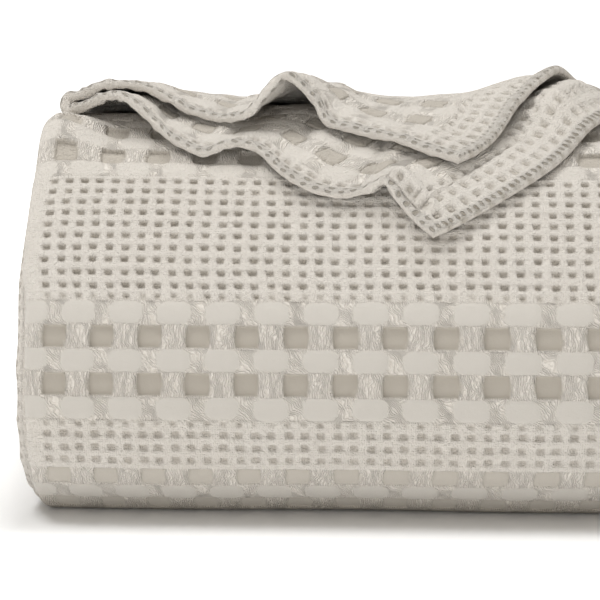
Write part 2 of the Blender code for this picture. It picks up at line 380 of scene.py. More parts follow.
def tube_mesh(name, points, coordinates, masks, material):
    """Rings of points, first to last, as a mesh that closes round each ring and over both ends.

    Each ring is the same forwards and backwards from the middle of its first fold, so that an
    end is closed by joining its two sides across.
    """
    rows, columns = points.shape[:2]
    index = np.arange(rows * columns).reshape(rows, columns)
    following = np.roll(index, -1, axis=1)
    sides = np.stack((index[:-1], index[1:], following[1:], following[:-1]), axis=-1)
    place = np.arange(columns // 2 - 1)
    up = LAYER_FOLD_STEPS // 2 + place
    down = (LAYER_FOLD_STEPS // 2 - 1 - place) % columns
    near = LAYER_FOLD_STEPS // 2 - 2 - place
    first = np.stack((index[0, up], index[0, up + 1], index[0, near], index[0, down]), axis=-1)
    last = np.stack((index[-1, up + 1], index[-1, up], index[-1, down], index[-1, near]), axis=-1)
    faces = np.concatenate([sides.reshape(-1, 4), first, last])
    return mesh_object(name, points, faces, coordinates, masks, material)


def closed_sheet_mesh(name, first_side, second_side, coordinates, masks, material):
    """Two grids as one closed mesh: points that coincide are merged, and gaps get a rim."""
    rows, columns = first_side.shape[:2]
    count = rows * columns
    first = np.arange(count).reshape(rows, columns)
    second = first + count
    merged = np.linalg.norm(first_side - second_side, axis=-1) < SAME_POINT
    second = np.where(merged, first, second)
    faces = [
        np.stack((g[:-1, :-1], g[1:, :-1], g[1:, 1:], g[:-1, 1:]), axis=-1).reshape(-1, 4)
        for g in (first, second[:, ::-1])]
    borders = (
        (first[:, 0], second[:, 0]), (first[::-1, -1], second[::-1, -1]),
        (first[0, ::-1], second[0, ::-1]), (first[-1], second[-1]))
    for near, far in borders:
        rim = np.stack((near[1:], near[:-1], far[:-1], far[1:]), axis=-1)
        faces.append(rim[(near[1:] != far[1:]) & (near[:-1] != far[:-1])])
    faces = np.concatenate(faces)
    used, faces = np.unique(faces, return_inverse=True)
    faces = faces.reshape(-1, 4)
    points = np.concatenate([first_side.reshape(-1, 3), second_side.reshape(-1, 3)])[used]
    flat = np.concatenate([coordinates.reshape(-1, 2)] * 2)[used]
    doubled = {
        mask: np.concatenate([values.ravel()] * 2)[used] for mask, values in masks.items()}
    return mesh_object(name, points, faces, flat, doubled, material)


def surface_normals(points):
    """Unit normals of a grid of points: the cross product of its two gradients."""
    across = np.gradient(points, axis=1)
    along = np.gradient(points, axis=0)
    normals = np.cross(along, across)
    return normals / np.linalg.norm(normals, axis=-1, keepdims=True)


# ---- The outer cloth ----

LEFT_TURN = 3.3 * MM  # radius of the lengthwise fold at the left
RIGHT_TURN = 1.8 * MM  # radius of the rolled hem at the right
TUCK = 9 * MM  # how far the cloth runs back in under itself
TURN_COLUMNS = 9
TUCK_COLUMNS = 4
SIDE_ROOM = 0.4 * MM  # no column of the weave is nearer to a turn
FRONT_START = MIDDLES[KINDS == "block"][3] - LENGTHS[KINDS == "block"][3] / 2
FRONT_END = 10.0  # past the last row
WEAVE_SHIFT = 0.95  # cells by which the weave starts inside the left fold
PLAIN_FOLD = (1.3, 1.6)  # cells from the left fold where its pressed smooth strip ends

# The left fold stays in by the first length, and by more further down.
# Columns of the steps: reach of the start, reach of the end, length.
LEFT_INSET = 1.0 * MM
LEFT_INSET_STEPS = ((286 * MM, 306 * MM, 2.5 * MM), (350 * MM, 380 * MM, 1.0 * MM))
FOOT_INSET = 3 * MM  # how far the stack draws in at the floor
FOOT_HEIGHT = 20 * MM  # where it begins to

# The swell under the left end of the loose end: sideways and reach of its middle, its widths
BULGE = 13 * MM
BULGE_PLACE = (-184 * MM, 196 * MM)
BULGE_WIDTH = (17 * MM, 20 * MM)

PRESSED = (388 * MM, 396 * MM)  # reach over which the weave becomes flatter, under the front
PRESSED_SHARE = 0.7  # the part of the relief that is pressed out there
STRIP = (362 * MM, 368 * MM)  # reach over which the painted shade in the pits weakens, in the low strip
STRIP_SHARE = 0.35
PAINTED_FOOT_SHADE = (1 * MM, 15 * MM)  # height over which the painted shade at the cloth's foot, by the floor, fades out
PAINTED_FOOT_SHADE_DEPTH = 0.95
SATIN = (235 * MM, 330 * MM)  # reach over which the floats get their full satin finish and tone; the tone is partly painted shade, darker down the front than on the top
SATIN_SHARE = 0.3  # the part of it that they have on the top, where they are painted lighter
SLOW_WAVE = 0.7 * MM  # of the outer cloth over the layers


def row_samples(first, last):
    """Reach of every grid row between two reaches: each row's middle plus shares of its length."""
    chosen = (MIDDLES > first) & (MIDDLES < last)
    places = [
        middle + length * np.array(SAMPLES[kind])
        for kind, middle, length in zip(KINDS[chosen], MIDDLES[chosen], LENGTHS[chosen])]
    end = (MIDDLES + LENGTHS / 2)[chosen][-1]
    return np.concatenate(places + [[end]])


def column_samples():
    """Distance across of every grid column, with the turns and tucks past both side edges."""
    widest = int(np.ceil(cells_at(2 * HALF_WIDTH)))
    cells = (np.arange(widest + 1)[:, None] + np.array(COLUMN_SAMPLES)[None]).ravel()
    across = across_at(cells - WEAVE_SHIFT % 1)
    span = 2 * HALF_WIDTH - LEFT_TURN - RIGHT_TURN
    across = across[(across > SIDE_ROOM) & (across < span - SIDE_ROOM)]
    left_run = np.concatenate([
        -math.pi * LEFT_TURN - np.linspace(TUCK, TUCK / TUCK_COLUMNS, TUCK_COLUMNS),
        -math.pi * LEFT_TURN * np.linspace(1, 0, TURN_COLUMNS)])
    right_run = np.concatenate([
        math.pi * RIGHT_TURN * np.linspace(0, 1, TURN_COLUMNS),
        math.pi * RIGHT_TURN + np.linspace(TUCK / TUCK_COLUMNS, TUCK, TUCK_COLUMNS)])
    return np.concatenate([left_run, across, span + right_run])


def turned_edge(run, radius):
    """Shift sideways and inward past an edge: a half circle of the radius, then straight back."""
    angle = np.clip(run / radius, 0, math.pi)
    straight = np.maximum(run - math.pi * radius, 0)
    return radius * np.sin(angle) - straight, radius * (1 - np.cos(angle))


def left_inset(reach):
    """How far the outer cloth's left fold stays in: a length, plus a smooth step for each band."""
    inset = LEFT_INSET
    for start, end, length in LEFT_INSET_STEPS:
        inset = inset + length * smooth_step(start, end, reach)
    return inset


def foot_inset(height):
    """How far the stack draws in near the floor: most at the floor, evenly less going up."""
    return FOOT_INSET * np.clip(1 - height / FOOT_HEIGHT, 0, 1)


def corner_bulge(sideways, reach):
    """The swell where the loose end's fold meets the stack: a bell in both directions."""
    aside = (sideways - BULGE_PLACE[0]) / BULGE_WIDTH[0]
    along = (reach - BULGE_PLACE[1]) / BULGE_WIDTH[1]
    return BULGE * np.exp(-aside ** 2 - along ** 2)


def slow_waves(across, reach):
    """Long shallow waves of the outer cloth: the product of two slanting sines."""
    return SLOW_WAVE * np.sin(across / (41 * MM) + reach / (63 * MM)) * np.sin(
        reach / (47 * MM) - across / (90 * MM))


def outer_cloth(name, first, last, material):
    """The outer cloth between two reaches: the section carried across, plus the weave's relief.

    Past both side edges it turns under in a half circle and runs back in a little.
    """
    across = column_samples()[None, :]
    reach = row_samples(first, last)[:, None]
    span = 2 * HALF_WIDTH - LEFT_TURN - RIGHT_TURN
    left_shift, left_drop = turned_edge(np.maximum(-across, 0), LEFT_TURN)
    right_shift, right_drop = turned_edge(np.maximum(across - span, 0), RIGHT_TURN)

    bulge = corner_bulge(across - HALF_WIDTH, reach)
    depth, height = place_on_section(reach, bulge - left_drop - right_drop)
    foot = foot_inset(height)
    low_side = -HALF_WIDTH + LEFT_TURN + left_inset(reach) + foot
    high_side = HALF_WIDTH - RIGHT_TURN - foot
    share = np.clip(across, 0, span) / span
    sideways = low_side + (high_side - low_side) * share - left_shift + right_shift
    points = stand_in_frame(sideways, depth, height)

    cells = cells_at(across) + WEAVE_SHIFT
    relief, masks = weave_relief(cells, reach, OUTER_CHART)
    plain_fold = 1 - smooth_step(*PLAIN_FOLD, cells)
    relief = relief * (1 - plain_fold) + CROWN * 0.5 * plain_fold
    relief = relief * (1 - PRESSED_SHARE * smooth_step(*PRESSED, reach))
    relief = relief + slow_waves(across, reach)
    # Painted shade in the pits: none on the pressed fold, and weaker in the low strip.
    painted_shade = masks["painted_shade"] * (1 - plain_fold) * (1 - STRIP_SHARE * smooth_step(*STRIP, reach))
    # Painted shade at the foot of the cloth, darkest at the floor, where shade falls.
    painted_foot_shade = PAINTED_FOOT_SHADE_DEPTH * (1 - smooth_step(*PAINTED_FOOT_SHADE, height))
    masks["painted_shade"] = np.maximum(painted_shade, painted_foot_shade)
    # The satin tone is partly the floats' own greyer colour and partly painted shade; it is weaker
    # on the top, so that the floats there are painted lighter.
    masks["satin"] = masks["satin"] * (SATIN_SHARE + (1 - SATIN_SHARE) * smooth_step(*SATIN, reach))
    masks["pitted"] = 0.0
    points = points + surface_normals(points) * relief[..., None]
    points[..., 2] = np.maximum(points[..., 2], LOW[2] + 0.1 * MM)
    coordinates = np.stack(np.broadcast_arrays(across, reach), axis=-1)
    return grid_mesh(name, points, coordinates, masks, material)


# ---- The layers inside the stack ----

# How far each pass stays in from the full width, outermost pass first.
# Columns: left end, right end.
PASS_INSET = np.array([
    (1.5, 4.5), (-2.0, 1.0), (-0.5, 3.0), (2.0, 1.0), (0.0, 4.0), (2.5, 2.0),
    (0.5, 3.5), (2.0, 1.5), (4.0, 4.0), (1.5, 2.0), (3.5, 5.0), (2.5, 3.0),
]) * MM
TURN_SETBACK = np.array((0, 3, 1, 4, 2, 0, 3, 1, 4, 1, 3)) * MM
LAYER_CELL = 6.8 * MM  # length of a waffle cell on the inner layers
LAYER_FILL = 0.93  # a layer's share of the pitch from one pass to the next
LAYER_STEP = 3.0 * MM
LAYER_FOLD_STEPS = 8  # points round the fold of a layer
LAYER_HEM_STEPS = 6
LAYER_FLAT_STEPS = 9
LAYER_FLAT_SHARE = 0.93  # the flat of a layer ends at this share of its half width
LAYER_CELLS = 24  # waffle cells from a layer's middle to either side
LAYER_WAVER = 0.9 * MM  # of its left and right ends
LAYER_BACK = 7.5 * MM  # where its turns at the back begin, from the back
TURN_STEPS = 9
SKIN_ROOM = 4.4 * MM  # the outermost pass stays this far under the outer cloth
SKIN_END = (430 * MM, 480 * MM)  # reach over which the outer cloth ends under the front


def pass_line(number):
    """One U pass from the top back to the bottom back: the outline drawn in towards the core.

    Returns the section points and the thickness there, which is a share of the distance to the
    next pass.
    """
    total = SECTION_LENGTHS[-1]
    reach = np.linspace(0, total, int(total / LAYER_STEP))
    outer_depth, outer_height = place_on_section(reach, 0)
    core_depth, core_height = nearest_core(outer_depth)
    normal = read_section(SECTION_NORMALS, reach)
    room = (outer_depth - core_depth) * normal[0] + (outer_height - core_height) * normal[1]
    pitches = PASSES - CORE_SHARE + 0.5
    pitch = room / pitches
    share = (PASSES - CORE_SHARE - number) / pitches
    thickness = pitch * LAYER_FILL
    points = np.column_stack([
        core_depth + (outer_depth - core_depth) * share,
        core_height + (outer_height - core_height) * share])
    if number == 0:
        covered = SKIN_ROOM * (1 - smooth_step(*SKIN_END, reach))
        thickness = thickness - covered
        points = np.column_stack(place_on_section(reach, -covered - thickness / 2))
    return points, thickness


def layer_strip():
    """All passes and the turns between them as one path, with thickness and pass number."""
    lines = [pass_line(number) for number in range(PASSES)]
    pieces = []
    for number, (points, thickness) in enumerate(lines):
        downwards = number % 2 == 0
        near_back = DEPTH - LAYER_BACK - TURN_SETBACK[min(number, len(TURN_SETBACK) - 1)]
        points[:, 0] = np.minimum(points[:, 0], near_back)
        if not downwards:
            points = points[::-1]
            thickness = thickness[::-1]
        pieces.append((points, thickness, np.full(len(points), float(number))))
        if number + 1 < PASSES:
            following = lines[number + 1][0][-1 if downwards else 0]
            start = points[-1]
            radius = abs(following[1] - start[1]) / 2
            side = np.sign(start[1] - following[1])
            angles = np.linspace(0, math.pi, TURN_STEPS)[1:-1]
            turn = np.column_stack([
                start[0] + radius * np.sin(angles),
                (start[1] + following[1]) / 2 + side * radius * np.cos(angles)])
            pieces.append((
                turn, np.full(len(turn), thickness[-1]),
                np.linspace(number, number + 1, len(turn) + 2)[1:-1]))
    return [np.concatenate(columns) for columns in zip(*pieces)]


def layer_ring():
    """One doubled layer across: its rounded fold at the left and two hemmed edges at the right.

    Returns the side each point belongs to, its shift outward and its share of half the
    thickness.  The fold is a half circle, and each hem is a smaller one.
    """
    fold = np.linspace(-math.pi / 2, math.pi / 2, LAYER_FOLD_STEPS)
    hem = np.linspace(math.pi / 2, -math.pi / 2, LAYER_HEM_STEPS)
    flat = np.linspace(-1, 1, LAYER_FLAT_STEPS)[1:-1] * LAYER_FLAT_SHARE
    level = np.zeros(len(flat))
    side = [np.full(len(fold), -1.0), flat, np.full(2 * len(hem), 1.0), flat[::-1]]
    outward = [np.cos(fold), level, np.tile(np.cos(hem), 2) * 0.5, level]
    hems = np.concatenate([0.5 + 0.5 * np.sin(hem), -0.5 + 0.5 * np.sin(hem)])
    up = [np.sin(fold), level + 1, hems, level - 1]
    return np.concatenate(side), np.concatenate(outward), np.concatenate(up)


def folded_layers(material):
    """The layers inside the stack: the ring of one doubled layer carried along the strip."""
    path, thickness, numbers = layer_strip()
    side, outward, up = layer_ring()
    along = np.gradient(path, axis=0)
    along /= np.linalg.norm(along, axis=1)[:, None] + 1e-12
    normal = np.column_stack([-along[:, 1], along[:, 0]])
    places = path_lengths(path)
    passes = np.arange(PASSES)
    foot = foot_inset(path[:, 1])
    waver = np.abs(LAYER_WAVER * np.sin(places / (11 * MM) + 2 * np.sin(places / (37 * MM))))
    left = -HALF_WIDTH + np.interp(numbers, passes, PASS_INSET[:, 0]) + foot + waver
    right = HALF_WIDTH - np.interp(numbers, passes, PASS_INSET[:, 1]) - foot - waver

    half = thickness[:, None] / 2
    middle = (left + right)[:, None] / 2
    reach_out = (right - left)[:, None] / 2 - half
    sideways = middle + side * reach_out + np.sign(side) * outward * half
    depth = path[:, :1] + normal[:, :1] * up * half
    height = path[:, 1:] + normal[:, 1:] * up * half
    points = stand_in_frame(sideways, depth, height)
    points[..., 2] = np.maximum(points[..., 2], LOW[2])

    around = side * LAYER_CELLS * CELL + np.sign(side) * outward * 0.5 * CELL
    coordinates = np.stack(np.broadcast_arrays(around[None, :], places[:, None]), axis=-1)
    return tube_mesh("folded_layers", points, coordinates, {"celled": 1.0}, material)


# ---- The loose end ----

# Hems and side edges.  Reach is the distance from the back, measured forward over the top, and
# lift is the height of the ply's middle over the stack.  Columns: sideways, reach, lift.
LOWER_HEM = np.array([
    (15, 275, 4.5), (-3, 254, 8), (-10, 246, 12), (-18, 248, 8),
    (-33, 250, 5), (-49, 245, 5.5), (-61, 236, 6), (-75, 220, 8),
    (-89, 219, 10), (-101, 221, 5.5), (-117, 212, 6.5), (-130, 199, 11),
    (-145, 190, 19.5), (-158, 181, 17.5), (-171, 176, 11), (-176.5, 172.5, 7),
    (-180, 170, 8.5),
]) * MM
UPPER_HEM = np.array([
    (-180, 170, 8.5), (-177, 168, 11.5), (-171, 168, 15.5), (-160, 172, 22),
    (-135, 179, 19.5), (-114, 189, 13), (-96, 196, 11), (-79, 205, 19),
    (-70, 200, 28), (-61, 194, 34), (-46, 196, 22), (-40, 202, 13),
    (-29, 207, 11), (-3, 219, 13), (12, 227, 12.5), (29, 234, 11.5),
]) * MM
LOWER_RIGHT_EDGE = np.array([
    (15, 275, 4.5), (45, 254, 4), (76, 228, 4), (100, 191, 4.5),
    (128, 150, 4.5), (150, 100, 4), (163, 50, 4), (166, 8, 4),
]) * MM
LEFT_FOLD = np.array([
    (-180, 170, 8.5), (-183, 140, 7), (-184, 110, 7), (-184, 60, 6.8),
    (-184, 8, 6.8),
]) * MM
UPPER_RIGHT_EDGE = np.array([
    (29, 234, 11.5), (48, 213, 11), (62, 186, 17), (80, 164, 24.5),
    (102, 115, 17), (125, 65, 11), (140, 8, 9.5),
]) * MM

# Soft ridges and troughs across each ply.
# Columns: sideways and reach of the start, the same of the end, width, height.
LOWER_CREASES = np.array([
    (-8, 241, 9, 260, 1.8, -3.0), (-3, 236, 14, 256, 2.6, 3.0),
    (-8, 236, 2, 200, 3.5, 1.8), (-14, 232, -8, 198, 3.0, -1.4),
    (8, 258, 64, 203, 1.4, -1.3), (-48, 238, -40, 200, 5.0, 1.6),
    (-96, 214, -84, 176, 5.0, 1.5), (-124, 196, -118, 160, 5.0, -1.5),
    (70, 200, 96, 150, 5.0, 1.2), (78, 174, 94, 142, 17.0, 12.5),
])
UPPER_CREASES = np.array([
    (-22, 202, -34, 150, 6.0, 2.0), (-4, 210, 6, 160, 5.0, -1.6),
    (14, 218, 34, 176, 4.0, 1.6), (-92, 190, -84, 146, 6.0, -1.8),
    (-150, 168, -138, 128, 6.0, -1.6), (60, 180, 84, 128, 4.0, -1.5),
    (-118, 184, -110, 150, 5.0, 1.4),
])

LOWER_REST = 4 * MM  # lift of the lower ply where it lies flat
UPPER_REST = 8.4 * MM  # lift of the upper ply where it lies on the lower one
LOWER_RIPPLE_LENGTH = 30 * MM  # how far the lower hem's ripples run back
UPPER_RIPPLE_LENGTH = 36 * MM
EDGE_RIPPLE_LENGTH = 32 * MM  # how far a side edge's own lift runs in
PLY_HALF = 1.25 * MM  # half the thickness of one ply, without its relief
HEM_HALF = 2.3 * MM  # half the thickness of its rolled hem
HEM_WIDTH = 5.0 * MM
HEM_BLEND = 1 * MM
CORNER_ROUND = 7.0 * MM
CORNER_DRAW = 2 * MM  # how far a free corner is drawn in
CORNER_POINTS = 12  # over this many grid points
FOLD_RADIUS = 2.75 * MM  # of the left fold
FOLD_CALM = 22 * MM  # how far from the fold it shapes the ply
CRUMPLE = 0.6 * MM  # of the small all-over unevenness
LOWER_BACK_RADIUS = 3.6 * MM  # of the plies' turns at the back
UPPER_BACK_RADIUS = 8.0 * MM
PLY_SPLIT = 0.42  # the sheet becomes two plies at this share of both hems
FINE_STEP = 1.1 * MM
COARSE_STEP = 2.4 * MM
EDGE_STEPS = np.array((0, 0.1, 0.3, 0.6, 1.0, 1.5)) * MM
FINE_REACH = 105 * MM  # from the hem, where most of the cloth is in sight
BACK_TURN_ROWS = 9


def crease_lift(sideways, reach, creases):
    """The sum of soft ridges and troughs, each a bell of the distance from its line segment."""
    lift = 0
    for x0, y0, x1, y1, width, height in creases * MM:
        length = (x1 - x0) ** 2 + (y1 - y0) ** 2
        share = ((sideways - x0) * (x1 - x0) + (reach - y0) * (y1 - y0)) / length
        nearest = np.clip(share, 0, 1)
        from_line = np.hypot(
            sideways - x0 - nearest * (x1 - x0), reach - y0 - nearest * (y1 - y0))
        lift = lift + height * np.exp(-(from_line / width) ** 2)
    return lift


def patch(hem, start_edge, end_edge, across, back, rest, ripple_length, creases, fold_at_end):
    """One ply of the loose end, as a grid of sideways, reach and lift.

    Each point blends the hem with a straight back line, and adds how far the two side edges
    stray from straight lines.  The hem's ripples fade to the resting lift with distance, and so
    does the free edge's own lift.  Near the fold the ply follows a half circle.
    """
    hem = places_along(hem, across)
    start = places_along(start_edge, back)
    end = places_along(end_edge, back)
    across = across[None, :, None]
    back = back[:, None, None]
    back_line = start[-1] + (end[-1] - start[-1]) * across
    start_stray = start[:, None] - (start[0] * (1 - back) + start[-1] * back)
    end_stray = end[:, None] - (end[0] * (1 - back) + end[-1] * back)
    grid = hem[None] * (1 - back) + back_line * back
    grid = grid + start_stray * (1 - across) + end_stray * across

    run = np.linalg.norm(grid[..., :2] - hem[None, :, :2], axis=-1)
    lift = rest + (hem[None, :, 2] - rest) * np.exp(-(run / ripple_length) ** 1.5)
    free, free_column, fold = (start, 0, end) if fold_at_end else (end, -1, start)
    from_free = np.linalg.norm(grid[..., :2] - free[:, None, :2], axis=-1)
    lift += (free[:, None, 2] - lift[:, [free_column]]) * np.exp(
        -(from_free / EDGE_RIPPLE_LENGTH) ** 2)

    steps = np.linalg.norm(np.diff(grid[..., :2], axis=1), axis=-1)
    run = np.concatenate([np.zeros((len(grid), 1)), np.cumsum(steps, axis=1)], axis=1)
    from_fold = run[:, [-1]] - run if fold_at_end else run
    angle = np.minimum(from_fold / FOLD_RADIUS, math.pi / 2)
    side = -1 if fold_at_end else 1
    near = np.exp(-(from_fold / FOLD_CALM) ** 2)
    folded = fold[:, None, 2] + side * FOLD_RADIUS * np.sin(angle)
    lift = lift + crease_lift(grid[..., 0], grid[..., 1], creases)
    lift = lift + CRUMPLE * np.sin(
        grid[..., 0] / (7 * MM) + 1.5 * np.sin(grid[..., 1] / (19 * MM))) * np.sin(
        grid[..., 1] / (9 * MM) + grid[..., 0] / (31 * MM))
    grid[..., 2] = lift * (1 - near) + folded * near
    grid[..., 0] -= from_fold - (
        FOLD_RADIUS * (1 - np.cos(angle)) + np.maximum(from_fold - FOLD_RADIUS * math.pi / 2, 0))
    return grid


def steps_along(length, fine_until):
    """Places from an edge: close at the edge, then a fine step, then a coarse one."""
    fine = np.arange(EDGE_STEPS[-1] + 0.7 * MM, min(fine_until, length), FINE_STEP)
    coarse = np.arange(fine[-1] + COARSE_STEP, length, COARSE_STEP)
    return np.concatenate([EDGE_STEPS, fine, coarse, [length]])


def back_turn(grid, radius):
    """More rows that carry a ply round a half circle at the back and in under the top layer."""
    angles = np.linspace(0, math.pi, BACK_TURN_ROWS)[1:, None]
    last = grid[-1]
    turn = np.stack(np.broadcast_arrays(
        last[:, 0], last[:, 1] - radius * np.sin(angles),
        last[:, 2] - radius * (1 - np.cos(angles))), axis=-1)
    tuck = turn[-1:] + np.array((0, 6 * MM, 0))
    return np.concatenate([grid, turn, tuck])


def loose_end_sheet():
    """The middle of both plies as one grid, with distances from the hem and along it."""
    lower_length, upper_length, row_length = (
        path_lengths(smooth_path(edge, PATH_SAMPLES))[-1]
        for edge in (LOWER_HEM, UPPER_HEM, UPPER_RIGHT_EDGE))
    rows = steps_along(row_length, FINE_REACH)
    lower_columns = steps_along(lower_length, 1.0)
    upper_columns = steps_along(upper_length, 1.0)
    back = rows / row_length
    lower = patch(
        LOWER_HEM, LOWER_RIGHT_EDGE, LEFT_FOLD, lower_columns / lower_length, back,
        LOWER_REST, LOWER_RIPPLE_LENGTH, LOWER_CREASES, True)
    upper = patch(
        UPPER_HEM, LEFT_FOLD, UPPER_RIGHT_EDGE, 1 - upper_columns[::-1] / upper_length, back,
        UPPER_REST, UPPER_RIPPLE_LENGTH, UPPER_CREASES, False)
    lower = back_turn(lower, LOWER_BACK_RADIUS)
    upper = back_turn(upper, UPPER_BACK_RADIUS)
    sheet = np.concatenate([lower[:, :-1], upper], axis=1)
    total = lower_length + upper_length
    along = np.concatenate([lower_columns[:-1], total - upper_columns[::-1]])
    extra = rows[-1] + np.linspace(1, 20, BACK_TURN_ROWS) * MM
    return sheet, np.concatenate([rows, extra]), along, total, lower_length


# Rows of the loose end, from its hem back
LOOSE_ROWS = (
    (("ridge",), 1, 5.6 * MM),
    (("waffle",), 1, 5.6 * MM),
    (BAND, 1, 11.5 * MM),
    (("waffle",), 8, 6.8 * MM),
    (BAND, 2, BAND_ROW),
)
BORDER_ROWS = ((("ridge",), 1, 5.6 * MM), (("waffle",), 60, 6.8 * MM))
BORDER = (24 * MM, 26 * MM)  # where the plain cells along the sides end
LOOSE_SHIFT = 0.35  # cells by which its weave starts outside its side edge
BORDER_SHIFT = -0.22  # and that of the cells along its sides
LOOSE_SATIN_SHARE = 0.25  # the part of the satin finish and tone, with its painted shade, that its floats have, so that they are painted lighter


def loose_relief(from_side, from_hem):
    """Relief of the loose end: its own chart of rows, with plain waffle cells along its sides."""
    height, masks = weave_relief(
        from_side / CELL + LOOSE_SHIFT, from_hem, row_chart(LOOSE_ROWS))
    border_height, border_masks = weave_relief(
        from_side / CELL + BORDER_SHIFT, from_hem, row_chart(BORDER_ROWS))
    border = 1 - smooth_step(*BORDER, from_side)
    masks = {
        mask: values * (1 - border) + border_masks[mask] * border for mask, values in masks.items()}
    edge = np.minimum(from_side, from_hem)
    masks["pitted"] = smooth_step(0.3 * MM, 1.2 * MM, edge) * (
        1 - smooth_step(HEM_WIDTH, HEM_WIDTH + 1.2 * MM, edge))
    # Its floats get less of the satin tone and its painted shade, so that they are painted lighter.
    masks["satin"] = masks["satin"] * LOOSE_SATIN_SHARE
    return height * (1 - border) + border_height * border, masks


def loose_end(material):
    """Both plies as closed sheets: the middle grid pushed out to both sides by half a thickness.

    The half thickness is a quarter circle of the distance from the nearest edge, held for the
    width of the rolled hem and then less.  The two free corners are drawn in a little.
    """
    sheet, from_hem, along, total, fold_place = loose_end_sheet()
    corner = np.hypot(from_hem[:, None], np.minimum(along, total - along)[None, :])
    drawn_in = np.exp(-(corner / CORNER_ROUND) ** 2)[..., None]
    for column, inner in ((0, CORNER_POINTS), (-1, -1 - CORNER_POINTS)):
        towards = sheet[CORNER_POINTS, inner] - sheet[0, column]
        towards = towards / np.linalg.norm(towards) * CORNER_DRAW
        side = (along < total / 2) if column == 0 else (along >= total / 2)
        sheet = sheet + drawn_in * side[None, :, None] * towards
    depth, height = place_on_section(sheet[..., 1], sheet[..., 2])
    points = stand_in_frame(sheet[..., 0], depth, height)
    normals = surface_normals(points)
    from_side = np.minimum(along, total - along)[None, :]
    edge = np.minimum(from_hem[:, None], from_side)
    inward = np.clip(edge / HEM_HALF, 0, 1)
    roll = 1 - smooth_step(HEM_WIDTH - HEM_BLEND, HEM_WIDTH + 1.2 * MM, edge)
    lumps = 1 + 0.13 * np.sin(along / (2.3 * MM)) + 0.10 * np.sin(along / (1.3 * MM) + 2)
    from_fold = np.abs(along - fold_place)[None, :]
    from_tip = np.hypot(from_hem[:, None], from_side)
    plump = 1 + 0.4 * np.exp(-(from_fold / (32 * MM)) ** 2) + 0.35 * np.exp(
        -(from_tip / (14 * MM)) ** 2)
    half = (PLY_HALF + (HEM_HALF * plump - PLY_HALF) * roll) * np.sqrt(1 - (1 - inward) ** 2)
    half = half * (1 + (lumps[None, :] - 1) * roll)
    relief, masks = loose_relief(from_side, from_hem[:, None])
    relief = relief * smooth_step(HEM_WIDTH - HEM_BLEND, HEM_WIDTH + HEM_BLEND, edge)
    upper_side = points + normals * (half + relief)[..., None]
    lower_side = points - normals * (half + relief)[..., None]
    coordinates = np.stack(np.broadcast_arrays(along[None, :], from_hem[:, None]), axis=-1)
    split = int(np.argmin(np.abs(along - PLY_SPLIT * total)))
    return [
        closed_sheet_mesh(
            name, upper_side[:, columns], lower_side[:, columns], coordinates[:, columns],
            {mask: values[:, columns] for mask, values in masks.items()}, material)
        for name, columns in (
            ("lower_ply", slice(None, split + 1)), ("upper_ply", slice(split, None)))]


# ---- Material ----

COTTON_LIGHT = (0.74, 0.70, 0.645, 1.0)
COTTON_WARM = (0.71, 0.66, 0.595, 1.0)
SATIN_TONE_AND_SHADE = (0.545, 0.515, 0.47, 1.0)
PAINTED_SHADE_COLOUR = (0.36, 0.315, 0.25, 1.0)  # painted shade, towards which pits, hem holes, patch floors, strand gaps and the foot are darkened

YARN_PITCH = 1.15 * MM
STRAND_PITCH = 1.2 * MM
FLOAT_PITCH = 0.5 * MM
HEM_PIT_PITCH = (6.6 * MM, 3.1 * MM)
STRAND_SLANT = math.radians(50)  # of the crosswise bundles' strands, down to the right


def feed(tree, sockets, inputs):
    """Each input by its name or number: set to a value, or linked to another node's socket."""
    for name, value in inputs.items():
        if isinstance(value, bpy.types.NodeSocket):
            tree.links.new(value, sockets[name])
        else:
            sockets[name].default_value = value


def node(tree, kind, inputs=None, **settings):
    """A shader node with its settings and its inputs."""
    made = tree.nodes.new(kind)
    for name, value in settings.items():
        setattr(made, name, value)
    feed(tree, made.inputs, inputs or {})
    return made


def math_node(tree, operation, *values):
    """One step of arithmetic in a material."""
    return node(
        tree, "ShaderNodeMath", dict(enumerate(values)), operation=operation).outputs[0]


def vector_node(tree, operation, *values, output=0):
    """One step of arithmetic on places in a material."""
    return node(
        tree, "ShaderNodeVectorMath", dict(enumerate(values)), operation=operation).outputs[output]


def map_range(tree, value, low, high, top=1.0, interpolation="LINEAR"):
    """0 where a value is at or under low, rising to top where it is at or over high."""
    return node(
        tree, "ShaderNodeMapRange", {
            "Value": value, "From Min": low, "From Max": high, "To Max": top},
        interpolation_type=interpolation).outputs["Result"]


def blend_colours(tree, share, first, second):
    """The colour a share of the way from the first to the second."""
    made = node(tree, "ShaderNodeMix", {0: share}, data_type="RGBA")
    colours = [socket for socket in made.inputs if socket.type == "RGBA"]
    feed(tree, colours, {0: first, 1: second})
    return next(socket for socket in made.outputs if socket.type == "RGBA")


def wave_strands(tree, place, direction, pitch):
    """Soft parallel strands at a pitch in metres, from 0 between them to 1 on top."""
    wave = node(
        tree, "ShaderNodeTexWave", {"Vector": place, "Scale": 2 * math.pi / (20 * pitch)},
        wave_type="BANDS", bands_direction=direction, wave_profile="SIN")
    return wave.outputs["Fac"]


def crossed_strands(tree, place, pitch_x, pitch_y):
    """The product of soft strands both ways: 1 where two cross, and 0 between them."""
    return math_node(
        tree, "MULTIPLY", wave_strands(tree, place, "X", pitch_x),
        wave_strands(tree, place, "Y", pitch_y))


def noise(tree, place, scale, detail=3.0, roughness=0.6, output="Fac"):
    """Cloudy noise, so many to the metre."""
    return node(tree, "ShaderNodeTexNoise", {
        "Vector": place, "Scale": scale, "Detail": detail, "Roughness": roughness,
    }).outputs[output]


